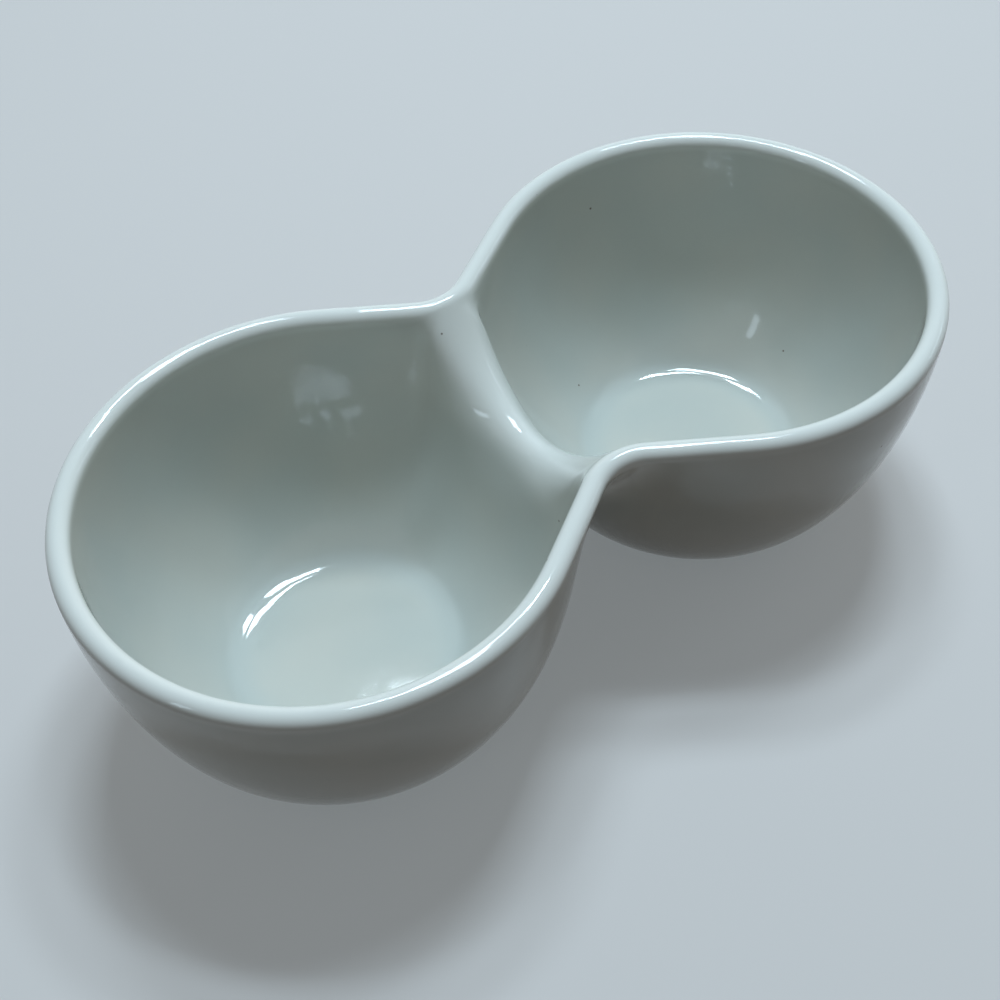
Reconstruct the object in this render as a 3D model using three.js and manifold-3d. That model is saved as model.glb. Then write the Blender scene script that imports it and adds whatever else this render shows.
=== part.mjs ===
// Twin dipping bowl: two round cups joined at a pinched waist, in glazed ceramic.
// Millimetres, +Z up. The origin lies on the table under the middle of the saddle,
// +X runs along the length, from the front cup to the rear cup.

import * as THREE from 'three';
import { mergeVertices } from 'three/addons/utils/BufferGeometryUtils.js';
import Module from 'manifold-3d';

// Driving dimensions

// Overall height, from the table to the crown of the lip.
const HEIGHT = 58.25;
// Outer diameter of each cup, measured over the lip.
const CUP_DIAMETER = 98;
// How far the two cups' outer circles run into each other at the waist.
const CUP_OVERLAP = 2;
// The lip is a full round of this thickness, and the wall under it starts as thick.
const LIP_THICKNESS = 4.5;
// Width over the lip at the waist, and the plan radius of the waist at the lip's middle line.
const WAIST_WIDTH = 59;
const WAIST_FILLET = 12;

// The outside of a cup is a quarter ellipse. It would reach the table at this radius.
const HEEL_RADIUS = 25;
// The well's wall is an ellipse too. Its lowest point would lie this far under the well's floor.
const WELL_SINK = 3.8;
// The well's flat floor: its radius out to the wall, its height above the table and its corner round.
const FLOOR_RADIUS = 23.5;
const FLOOR_LEVEL = 4.8;
const FLOOR_FILLET = 4;

// The saddle's crest dips this far under the lip's middle line, and the web is this thick under it.
const SADDLE_DIP = 16;
const WEB_THICKNESS = 13;
// The walls follow their ellipses up to this far below the lip, and the crest, in the well,
// and on the outside up to this far below the lip, and the groove.
const WELL_BLEND_RUN = 11;
const CREST_BLEND_RUN = 15;
const SIDE_BLEND_RUN = 16;
const GROOVE_BLEND_RUN = 7;
// How squarely the wall turns into the crest, and into the groove. Two thirds is a plain arc.
const CREST_FULLNESS = 0.74;
const GROOVE_FULLNESS = 0.67;
// Handles of a plain blend, as a share of its span, and the nearness to the waist where it turns squarer.
const PLAIN_HANDLE = 0.38;
const PLAIN_PINCH = 0.4;

// The wells swell towards each other, so that the ridge between them is this wide at the lip's level,
// and on each side this much wider at the waist. There the wells' mouths have corners of this softness.
const RIDGE_WIDTH = 9;
const RIDGE_FLARE = 2;
const MOUTH_CORNER = 7;
// The swell of the wells' walls fades towards the floor by this power.
const SWELL_POWER = 3;
// The well's wall leans towards the saddle on this length of the lip, measured from the middle plane.
const WELL_LEAN_RUN = 16;

// The saddle is luted to the cups on flat faces at this distance from the middle.
const JOINT_OFFSET = 12;

// Unglazed foot ring under each cup.
const FOOT_HEIGHT = 2;
const FOOT_DIAMETER = 56;
const FOOT_WIDTH = 5;
const FOOT_EDGE = 0.8;

// Corners closer than this are one corner.
const MERGE_DISTANCE = 1e-4;

// Counts of steps along the curves

const ARC_STEPS = 42;
const LINE_STEPS = 4;
const FILLET_STEPS = 4;
const MIDDLE_STEPS = 8;
const FLOOR_STEPS = 3;
const SIDE_STEPS = 7;
const BLEND_STEPS = 6;
const LIP_STEPS = 8;
const LEAN_ROUNDS = 6;
const FOOT_SEGMENTS = 48;
const FOOT_EDGE_STEPS = 2;

// Sizes that follow from them

const lipRound = LIP_THICKNESS / 2;
const lipLevel = HEIGHT - lipRound;
const lipRadius = CUP_DIAMETER / 2 - lipRound;
const cupReach = CUP_DIAMETER / 2 - CUP_OVERLAP / 2;
const waistReach = WAIST_WIDTH / 2 - lipRound;
const cupAxis = new THREE.Vector2(cupReach, 0);
// The waist's round runs straight into the cups' circles at this radius, so it is never larger.
const waistFilletLimit = (cupReach ** 2 + waistReach ** 2 - lipRadius ** 2) / (2 * (lipRadius - waistReach));
const waistFillet = Math.min(WAIST_FILLET, waistFilletLimit);

const wellRadius = lipRadius - lipRound;
const wellDrop = lipLevel - FLOOR_LEVEL + WELL_SINK;
// The middle of the well's ellipse, placed so that its wall meets the floor at the floor's radius.
const wellShare = Math.sqrt(1 - (1 - WELL_SINK / wellDrop) ** 2);
const wellCore = (FLOOR_RADIUS - wellRadius * wellShare) / (1 - wellShare);

// Plan of the lip

// The cup's circle ends, and its straight flank begins, at this angle about the cup's axis.
const filletCentre = waistReach + waistFillet;
const flankSpread = Math.acos(Math.min(1, (lipRadius + waistFillet) / Math.hypot(cupReach, filletCentre)));
const flankAngle = Math.atan2(filletCentre, -cupReach) - flankSpread;
const flankStart = cupReach + lipRadius * Math.cos(flankAngle);

// Points of the lip's line around the rear cup, moved outwards by offset, from the near waist round
// the cup's end to the far waist: waist round, straight flank, cup arc, straight flank, waist round.
function lipLine(offset) {
  const radius = lipRadius + offset;
  const fillet = waistFillet - offset;
  const half = [];
  for (let i = 0; i <= ARC_STEPS / 2; i += 1) {
    const angle = (2 * flankAngle * i) / ARC_STEPS;
    half.push(new THREE.Vector2(cupReach + radius * Math.cos(angle), radius * Math.sin(angle)));
  }
  const arcEnd = half[half.length - 1].clone();
  const filletEnd = new THREE.Vector2(
    -fillet * Math.cos(flankAngle),
    filletCentre - fillet * Math.sin(flankAngle),
  );
  for (let i = 1; i <= LINE_STEPS; i += 1) {
    half.push(arcEnd.clone().lerp(filletEnd, i / LINE_STEPS));
  }
  for (let i = 1; i <= FILLET_STEPS; i += 1) {
    const angle = THREE.MathUtils.lerp(flankAngle - Math.PI, -Math.PI / 2, i / FILLET_STEPS);
    half.push(new THREE.Vector2(fillet * Math.cos(angle), filletCentre + fillet * Math.sin(angle)));
  }
  half[half.length - 1].x = 0;
  const near = half.slice(1).reverse().map((point) => new THREE.Vector2(point.x, -point.y));
  return [...near, ...half];
}

// The lip's stations: a point of its middle line and the way out of the cup there.
const lipStations = lipLine(0).map((middle, i) => ({ middle, out: lipLine(1)[i].sub(middle) }));

// How close a station is to the waist for a surface, from 0 on the cup's arc to 1 at the waist.
function pinchAt(surface, station) {
  return 1 - THREE.MathUtils.smoothstep(station.middle.x, 0, surface.leanRun);
}

// Crest and groove over the middle plane

// The crest hangs as a parabola between the two lips of the waist, and the groove under the web
// hangs below it in the same way. Each runs into the lip's round without an edge, so at the waist
// the wall leans back by the angle that is found here. The line is distance across and level.
function hangingLine(edge, drop) {
  let lean = 0;
  let reach = waistReach;
  let fall = drop;
  for (let i = 0; i < LEAN_ROUNDS; i += 1) {
    lean = Math.atan2(reach, 2 * fall);
    reach = waistReach + edge * lipRound * Math.cos(lean);
    fall = drop - edge * lipRound * Math.sin(lean);
  }
  const line = new THREE.QuadraticBezierCurve(
    new THREE.Vector2(reach, lipLevel - drop + fall),
    new THREE.Vector2(reach / 2, lipLevel - drop),
    new THREE.Vector2(0, lipLevel - drop),
  );
  return { edge, lean, line, lineDrop: drop };
}

// The inside and the outside of a cup: an ellipse from the lip's edge down to a flat.

const well = {
  ...hangingLine(-1, SADDLE_DIP),
  fullness: CREST_FULLNESS,
  side: wellRadius,
  core: wellCore,
  drop: wellDrop,
  flatLevel: FLOOR_LEVEL,
  flatRound: FLOOR_FILLET,
  lipRun: WELL_BLEND_RUN,
  lineRun: CREST_BLEND_RUN,
  leanRun: WELL_LEAN_RUN,
  swells: true,
};
const outside = {
  ...hangingLine(1, SADDLE_DIP + WEB_THICKNESS),
  fullness: GROOVE_FULLNESS,
  side: lipRadius + lipRound,
  core: HEEL_RADIUS,
  drop: lipLevel,
  flatLevel: FOOT_HEIGHT,
  flatRound: 0,
  lipRun: SIDE_BLEND_RUN,
  lineRun: GROOVE_BLEND_RUN,
  leanRun: flankStart,
  swells: false,
};

// Sections through a cup's axis

// Ends of the sections at the lip's edge: where they are, how steeply they rise there and how
// squarely they turn, from 0 for a plain blend to 1 as at the crest or the groove.
function lipTips(surface) {
  return lipStations.map((station) => {
    const { middle, out } = station;
    const pinch = pinchAt(surface, station);
    const lean = surface.lean * pinch;
    const point = middle.clone().addScaledVector(out, surface.edge * lipRound * Math.cos(lean));
    const heading = point.clone().sub(cupAxis).normalize();
    return {
      point,
      level: lipLevel - surface.edge * lipRound * Math.sin(lean),
      rise: Math.atan2(Math.cos(lean) * heading.dot(out), Math.sin(lean)),
      squareness: THREE.MathUtils.smoothstep(pinch, PLAIN_PINCH, 1),
      onRidge: false,
    };
  });
}

// Ends of the sections on the crest or the groove, from the far waist to the near one.
function middleTips(surface) {
  const tips = [];
  for (let i = 1; i < 2 * MIDDLE_STEPS; i += 1) {
    const share = 1 - Math.abs(i / MIDDLE_STEPS - 1);
    const { x: across, y: level } = surface.line.getPoint(share);
    const along = surface.line.getTangent(share);
    tips.push({
      point: new THREE.Vector2(0, i > MIDDLE_STEPS ? -across : across),
      level,
      rise: Math.atan2((-along.y * across) / Math.hypot(cupReach, across), -along.x),
      squareness: 1,
      onRidge: true,
    });
  }
  return tips;
}

// The lesser of two values, rounded off where they lie within the blend of each other.
function softLeast(first, second, blend) {
  const nearness = Math.max(0, 1 - Math.abs(first - second) / blend);
  return Math.min(first, second) - (blend * nearness ** 3) / 6;
}

// How far the wall swells past its ellipse under a tip, measured at the lip's level.
function swellUnder(surface, tip) {
  if (!surface.swells) return 0;
  const reach = tip.point.distanceTo(cupAxis);
  const towardsRidge = (cupReach - tip.point.x) / reach;
  if (towardsRidge <= 0) return reach - surface.side;
  const across = cupReach * Math.tan(Math.acos(towardsRidge));
  const flare = RIDGE_FLARE * Math.min(1, across / waistReach) ** 2;
  const toRidge = (cupReach - RIDGE_WIDTH / 2 - flare) / towardsRidge;
  return (tip.onRidge ? toRidge : softLeast(reach, toRidge, MOUTH_CORNER)) - surface.side;
}

// The point of the wall at an angle under the lip, as radius and level.
function onWall(surface, angle, swell) {
  const ellipse = surface.core + (surface.side - surface.core) * Math.cos(angle);
  return new THREE.Vector2(
    ellipse + swell * Math.cos(angle) ** SWELL_POWER,
    lipLevel - surface.drop * Math.sin(angle),
  );
}

// The way up the wall at an angle under the lip.
function upWall(surface, angle, swell) {
  const swelling = SWELL_POWER * swell * Math.cos(angle) ** (SWELL_POWER - 1);
  const outwards = (surface.side - surface.core + swelling) * Math.sin(angle);
  return new THREE.Vector2(outwards, surface.drop * Math.cos(angle)).normalize();
}

// A curve between two points that leaves the first and reaches the second along the given ways.
// A plain one has even handles. A square one turns close to where the two ways cross.
function turn(start, leaving, end, arriving, fullness, squareness) {
  const span = end.clone().sub(start);
  let fromStart = PLAIN_HANDLE * span.length();
  let toEnd = fromStart;
  if (squareness > 0) {
    const cross = leaving.cross(arriving);
    const squareStart = (fullness * span.cross(arriving)) / cross;
    const squareEnd = (fullness * leaving.cross(span)) / cross;
    fromStart = THREE.MathUtils.lerp(fromStart, squareStart, squareness);
    toEnd = THREE.MathUtils.lerp(toEnd, squareEnd, squareness);
  }
  return new THREE.CubicBezierCurve(
    start,
    start.clone().addScaledVector(leaving, fromStart),
    end.clone().addScaledVector(arriving, -toEnd),
    end,
  );
}

// One section, as radius and level, from the flat's edge up the wall to its tip.
function section(surface, tip) {
  const flatAngle = Math.asin((lipLevel - surface.flatLevel) / surface.drop);
  const tipDepth = lipLevel - tip.level;
  const run = THREE.MathUtils.lerp(surface.lipRun, surface.lineRun, tipDepth / surface.lineDrop);
  const turnAngle = Math.asin((tipDepth + run) / surface.drop);
  const swell = swellUnder(surface, tip);
  const corner = onWall(surface, flatAngle, swell);
  const points = [];
  let startAngle = flatAngle;
  if (surface.flatRound > 0) {
    startAngle = flatAngle - surface.flatRound / surface.drop;
    const floorEdge = new THREE.Vector2(corner.x - surface.flatRound, corner.y);
    const round = new THREE.QuadraticBezierCurve(floorEdge, corner, onWall(surface, startAngle, swell));
    points.push(...round.getPoints(FLOOR_STEPS).slice(0, -1));
  }
  for (let i = 0; i < SIDE_STEPS; i += 1) {
    points.push(onWall(surface, THREE.MathUtils.lerp(startAngle, turnAngle, i / SIDE_STEPS), swell));
  }
  const blend = turn(
    onWall(surface, turnAngle, swell),
    upWall(surface, turnAngle, swell),
    new THREE.Vector2(tip.point.distanceTo(cupAxis), tip.level),
    new THREE.Vector2(Math.cos(tip.rise), Math.sin(tip.rise)),
    surface.fullness,
    tip.squareness,
  );
  return [...points, ...blend.getPoints(BLEND_STEPS)];
}

// The sections of a surface in space, in turn about the rear cup's axis.
function columns(surface) {
  return [...lipTips(surface), ...middleTips(surface)].map((tip) => {
    const heading = tip.point.clone().sub(cupAxis).normalize();
    const column = section(surface, tip).map(
      ({ x, y }) => new THREE.Vector3(cupReach + heading.x * x, heading.y * x, y),
    );
    column[column.length - 1].set(tip.point.x, tip.point.y, tip.level);
    return column;
  });
}

// Closed shell of both cups

// Collects triangles for the rear half and their mirror images for the front half.
function mirroredSurface() {
  const positions = [];
  const triangle = (a, b, c) => {
    positions.push(...a.toArray(), ...b.toArray(), ...c.toArray());
    for (const { x, y, z } of [a, c, b]) positions.push(-x, y, z);
  };
  const strip = (first, second) => {
    for (let i = 0; i + 1 < first.length; i += 1) {
      triangle(first[i], second[i], second[i + 1]);
      triangle(first[i], second[i + 1], first[i + 1]);
    }
  };
  return { positions, triangle, strip };
}

// The lip's round at one station, from the well's edge over the crown to the outer edge.
function lipArc(station) {
  const { middle, out } = station;
  const start = well.lean * pinchAt(well, station);
  const end = Math.PI + outside.lean * pinchAt(outside, station);
  const arc = [];
  for (let i = 0; i <= LIP_STEPS; i += 1) {
    const angle = THREE.MathUtils.lerp(start, end, i / LIP_STEPS);
    const point = middle.clone().addScaledVector(out, -lipRound * Math.cos(angle));
    arc.push(new THREE.Vector3(point.x, point.y, lipLevel + lipRound * Math.sin(angle)));
  }
  return arc;
}

function shellGeometry() {
  const surface = mirroredSurface();
  const floorMiddle = new THREE.Vector3(cupReach, 0, well.flatLevel);
  const baseMiddle = new THREE.Vector3(cupReach, 0, outside.flatLevel);
  columns(well).forEach((column, i, all) => {
    const next = all[(i + 1) % all.length];
    surface.triangle(floorMiddle, column[0], next[0]);
    surface.strip(next, column);
  });
  columns(outside).forEach((column, i, all) => {
    const next = all[(i + 1) % all.length];
    surface.triangle(baseMiddle, next[0], column[0]);
    surface.strip(column, next);
  });
  lipStations.map(lipArc).forEach((arc, i, all) => {
    if (i > 0) surface.strip(arc, all[i - 1]);
  });
  return closedGeometry(surface.positions);
}

// Solids

const wasm = await Module();
wasm.setup();

function closedGeometry(positions) {
  const geometry = new THREE.BufferGeometry();
  geometry.setAttribute('position', new THREE.Float32BufferAttribute(positions, 3));
  return geometry;
}

// A closed geometry as a solid, its shared vertices merged and empty triangles left out.
function toSolid(geometry) {
  const bare = geometry.clone();
  bare.deleteAttribute('normal');
  bare.deleteAttribute('uv');
  const merged = mergeVertices(bare, MERGE_DISTANCE);
  const corners = merged.index.array;
  const triVerts = [];
  for (let i = 0; i < corners.length; i += 3) {
    const [a, b, c] = corners.subarray(i, i + 3);
    if (a !== b && b !== c && c !== a) triVerts.push(a, b, c);
  }
  return new wasm.Manifold(
    new wasm.Mesh({
      numProp: 3,
      vertProperties: new Float32Array(merged.attributes.position.array),
      triVerts: new Uint32Array(triVerts),
    }),
  );
}

function toGeometry(solid) {
  const { vertProperties, triVerts, numProp } = solid.getMesh();
  const geometry = new THREE.BufferGeometry();
  const positions = new Float32Array((vertProperties.length / numProp) * 3);
  for (let i = 0; i < positions.length / 3; i += 1) {
    positions.set(vertProperties.subarray(i * numProp, i * numProp + 3), i * 3);
  }
  geometry.setAttribute('position', new THREE.BufferAttribute(positions, 3));
  geometry.setIndex(new THREE.BufferAttribute(new Uint32Array(triVerts), 1));
  geometry.computeVertexNormals();
  return geometry;
}

// A block between two planes across the length, tall and wide enough to hold the whole bowl.
function slab(fromX, toX) {
  const block = new THREE.BoxGeometry(toX - fromX, 2 * CUP_DIAMETER, 4 * HEIGHT);
  block.translate((fromX + toX) / 2, 0, 0);
  return toSolid(block);
}

const halfLength = cupReach + CUP_DIAMETER;
const shell = toSolid(shellGeometry());

function footGeometry() {
  const outer = FOOT_DIAMETER / 2;
  const inner = outer - FOOT_WIDTH;
  const profile = new THREE.Path();
  profile.moveTo(inner, FOOT_HEIGHT);
  profile.lineTo(inner, FOOT_EDGE);
  profile.absarc(inner + FOOT_EDGE, FOOT_EDGE, FOOT_EDGE, Math.PI, 1.5 * Math.PI, false);
  profile.absarc(outer - FOOT_EDGE, FOOT_EDGE, FOOT_EDGE, 1.5 * Math.PI, 2 * Math.PI, false);
  profile.lineTo(outer, FOOT_HEIGHT);
  profile.closePath();
  const ring = new THREE.LatheGeometry(profile.getPoints(FOOT_EDGE_STEPS), FOOT_SEGMENTS);
  return ring.rotateX(Math.PI / 2);
}

// Materials and assembly

function glaze() {
  return new THREE.MeshStandardMaterial({ color: 0xdfe5e4, roughness: 0.12, metalness: 0 });
}

function biscuit() {
  return new THREE.MeshStandardMaterial({ color: 0xd8cfc0, roughness: 0.85, metalness: 0 });
}

function piece(name, geometry, material) {
  const mesh = new THREE.Mesh(geometry, material);
  mesh.name = name;
  return mesh;
}

const dippingBowl = new THREE.Group();
const frontBowl = shell.intersect(slab(-halfLength, -JOINT_OFFSET));
const rearBowl = shell.intersect(slab(JOINT_OFFSET, halfLength));
const saddle = shell.intersect(slab(-JOINT_OFFSET, JOINT_OFFSET));
dippingBowl.add(piece('front_bowl', toGeometry(frontBowl), glaze()));
dippingBowl.add(piece('rear_bowl', toGeometry(rearBowl), glaze()));
dippingBowl.add(piece('saddle', toGeometry(saddle), glaze()));
for (const [name, side] of [['front_foot_ring', -1], ['rear_foot_ring', 1]]) {
  const foot = piece(name, footGeometry(), biscuit());
  foot.position.x = side * cupReach;
  dippingBowl.add(foot);
}

export default dippingBowl;
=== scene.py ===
"""Twin dipping bowl in white gloss glaze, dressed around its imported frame.

One skin of glaze runs over both cups, over the saddle between them and over the lip all round. The bare
foot rings under the cups are pieces of their own. Lengths are in metres and angles in radians, unless a
name says otherwise.
"""

import logging
import math
from dataclasses import dataclass
from enum import Enum

import bmesh
import bpy
from mathutils import Matrix, Vector
from mathutils.geometry import interpolate_bezier


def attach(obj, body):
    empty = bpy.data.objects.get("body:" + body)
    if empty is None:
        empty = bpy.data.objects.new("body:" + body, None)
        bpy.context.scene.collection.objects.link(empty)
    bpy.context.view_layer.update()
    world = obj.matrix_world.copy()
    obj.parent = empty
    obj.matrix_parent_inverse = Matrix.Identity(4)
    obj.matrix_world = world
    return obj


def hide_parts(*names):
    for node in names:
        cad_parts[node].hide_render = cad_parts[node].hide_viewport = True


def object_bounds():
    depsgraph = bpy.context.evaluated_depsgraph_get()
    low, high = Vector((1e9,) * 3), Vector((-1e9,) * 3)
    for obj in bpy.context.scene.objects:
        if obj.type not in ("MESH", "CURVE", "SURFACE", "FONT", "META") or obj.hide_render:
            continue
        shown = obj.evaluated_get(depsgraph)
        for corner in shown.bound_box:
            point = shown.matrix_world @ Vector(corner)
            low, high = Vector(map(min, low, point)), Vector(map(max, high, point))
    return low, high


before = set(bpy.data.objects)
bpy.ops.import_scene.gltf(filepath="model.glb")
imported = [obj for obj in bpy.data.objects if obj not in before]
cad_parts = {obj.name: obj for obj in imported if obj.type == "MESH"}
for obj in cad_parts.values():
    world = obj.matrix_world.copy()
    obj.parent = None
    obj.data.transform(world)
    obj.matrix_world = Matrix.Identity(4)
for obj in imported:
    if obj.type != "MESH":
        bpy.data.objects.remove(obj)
CAD_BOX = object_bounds()

LOG = logging.getLogger("dipping_bowl")
BODY = "root"
QUAD_CORNERS = 4

MOTTLE_DETAIL = 3.0
MOTTLE_ROUGHNESS = 0.3
MOTTLE_WIDEST = 0.6
MOTTLE_GAIN = 0.5
MOTTLE_MIDDLE = 0.5
SPECK_LEAST = 0.04
SPECK_SPREAD = 0.06
SPECK_CORE = 0.5

Piece = bpy.types.Object
Socket = bpy.types.NodeSocket
Colour = tuple[float, float, float]
Rows = list[list[Vector]]


class Face(Enum):
    """Face of the wall, with the side of the lip's middle line that it lies on."""

    WELL = -1
    OUTSIDE = 1


class Cup(Enum):
    """Cup of the bowl, with its side of the middle plane."""

    FRONT = -1
    REAR = 1


def lerp(first: float, last: float, share: float) -> float:
    """Value that lies the given share of the way from first to last."""
    return first + (last - first) * share


def smoothstep(value: float, low: float, high: float) -> float:
    """Share of the way from low to high, eased at both ends."""
    share = min(1.0, max(0.0, (value - low) / (high - low)))
    return share * share * (3.0 - 2.0 * share)


def soft_least(first: float, second: float, blend: float) -> float:
    """Lesser of two values, rounded off where they lie within the blend of each other."""
    nearness = max(0.0, 1.0 - abs(first - second) / blend)
    return min(first, second) - blend * nearness**3 / 6.0


def select_only(piece: Piece) -> None:
    """Makes one object the active one and the only one selected."""
    bpy.ops.object.select_all(action="DESELECT")
    piece.select_set(True)
    bpy.context.view_layer.objects.active = piece


def new_circle(name: str, corners: int, radius: float, middle: Vector) -> Piece:
    """Adds a circle with its place in its mesh, and leaves it selected all over in edit mode.

    Args:
        name: Name of the object.
        corners: Number of its corners.
        radius: Its radius.
        middle: Its middle.

    Returns:
        The circle.
    """
    bpy.ops.object.select_all(action="DESELECT")
    bpy.ops.mesh.primitive_circle_add(vertices=corners, radius=radius, location=middle)
    bpy.ops.object.transform_apply(location=True, rotation=False, scale=False)
    circle = bpy.context.object
    circle.name = circle.data.name = name
    bpy.ops.object.mode_set(mode="EDIT")
    bpy.ops.mesh.select_mode(type="EDGE")
    bpy.ops.mesh.select_all(action="SELECT")
    return circle


def face_outwards() -> None:
    """Turns the faces of the object in edit mode outwards, and leaves edit mode."""
    bpy.ops.mesh.select_all(action="SELECT")
    bpy.ops.mesh.normals_make_consistent(inside=False)
    bpy.ops.object.mode_set(mode="OBJECT")


def apply_modifier(piece: Piece, kind: str, **settings: object) -> None:
    """Adds a modifier to the active object and applies it.

    Args:
        piece: Object to change.
        kind: Blender's name for the kind of modifier.
        **settings: Values of the modifier.
    """
    select_only(piece)
    modifier = piece.modifiers.new(kind.lower(), kind)
    for name, value in settings.items():
        setattr(modifier, name, value)
    bpy.ops.object.modifier_apply(modifier=modifier.name)


@dataclass(frozen=True)
class Station:
    """Place on the lip.

    Attributes:
        middle: Point of the lip's middle line, in plan.
        out: Way out of the bowl, in plan.
    """

    middle: Vector
    out: Vector


@dataclass(frozen=True)
class Tip:
    """Upper end of a section of the wall.

    Attributes:
        point: Place in plan.
        level: Height above the table.
        rise: Angle of the wall above the way out from the cup's axis.
        squareness: Share of the crest's or groove's square turn in the blend towards it, from 0 to 1.
        on_ridge: Whether it lies over the middle plane and not on the lip.
    """

    point: Vector
    level: float
    rise: float
    squareness: float
    on_ridge: bool


@dataclass(frozen=True)
class Lip:
    """Full-round lip that runs round both cups and in at the waist.

    Attributes:
        height: Height of the lip's crown above the table.
        cup_diameter: Diameter of a cup over the lip.
        cup_overlap: How far the two cups' circles run into each other.
        thickness: Thickness of the lip.
        waist_width: Width over the lip at the waist.
        waist_fillet: Plan radius of the waist at the lip's middle line.
        arc_steps: Steps round a cup's arc.
        flank_steps: Steps along the straight flank between arc and waist.
        waist_steps: Steps round half the waist.
        round_steps: Steps over the lip's round.
    """

    height: float
    cup_diameter: float = 0.098
    cup_overlap: float = 0.002
    thickness: float = 0.0045
    waist_width: float = 0.059
    waist_fillet: float = 0.012
    arc_steps: int = 76
    flank_steps: int = 5
    waist_steps: int = 8
    round_steps: int = 12

    @property
    def round(self) -> float:
        """Radius of the lip's round."""
        return self.thickness / 2

    @property
    def level(self) -> float:
        """Height of the middle of the lip's round."""
        return self.height - self.round

    @property
    def radius(self) -> float:
        """Plan radius of the lip's middle line round a cup."""
        return self.cup_diameter / 2 - self.round

    @property
    def cup_reach(self) -> float:
        """Distance of a cup's axis from the middle plane."""
        return (self.cup_diameter - self.cup_overlap) / 2

    @property
    def axis(self) -> Vector:
        """Place of the rear cup's axis, in plan."""
        return Vector((self.cup_reach, 0.0))

    @property
    def waist_reach(self) -> float:
        """Distance of the lip's middle line from the middle at the waist."""
        return self.waist_width / 2 - self.round

    @property
    def fillet_middle(self) -> float:
        """Distance of the waist round's own middle from the middle of the bowl."""
        return self.waist_reach + self.waist_fillet

    @property
    def flank_angle(self) -> float:
        """Angle about the cup's axis at which its arc runs into the straight flank."""
        span = math.hypot(self.cup_reach, self.fillet_middle)
        spread = math.acos(min(1.0, (self.radius + self.waist_fillet) / span))
        return math.atan2(self.fillet_middle, -self.cup_reach) - spread

    def line(self, offset: float) -> list[Vector]:
        """Points of the lip's line round the rear cup.

        Args:
            offset: How far the line is moved out of the bowl.

        Returns:
            Points in plan, from the near waist round the cup's end to the far waist.
        """
        radius = self.radius + offset
        fillet = self.waist_fillet - offset
        flank = self.flank_angle
        half = []
        for step in range(self.arc_steps // 2 + 1):
            angle = 2 * flank * step / self.arc_steps
            half.append(self.axis + radius * Vector((math.cos(angle), math.sin(angle))))
        arc_end = half[-1]
        fillet_middle = Vector((0.0, self.fillet_middle))
        fillet_end = fillet_middle - fillet * Vector((math.cos(flank), math.sin(flank)))
        for step in range(1, self.flank_steps + 1):
            half.append(arc_end.lerp(fillet_end, step / self.flank_steps))
        for step in range(1, self.waist_steps + 1):
            angle = lerp(flank - math.pi, -math.pi / 2, step / self.waist_steps)
            half.append(fillet_middle + fillet * Vector((math.cos(angle), math.sin(angle))))
        half[-1].x = 0.0
        near = [Vector((point.x, -point.y)) for point in reversed(half[1:])]
        return near + half

    def stations(self) -> list[Station]:
        """Places along the lip, from the near waist round the rear cup to the far waist."""
        middles = self.line(0.0)
        edges = self.line(self.round)
        return [Station(middle, (edge - middle).normalized()) for middle, edge in zip(middles, edges)]


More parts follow.
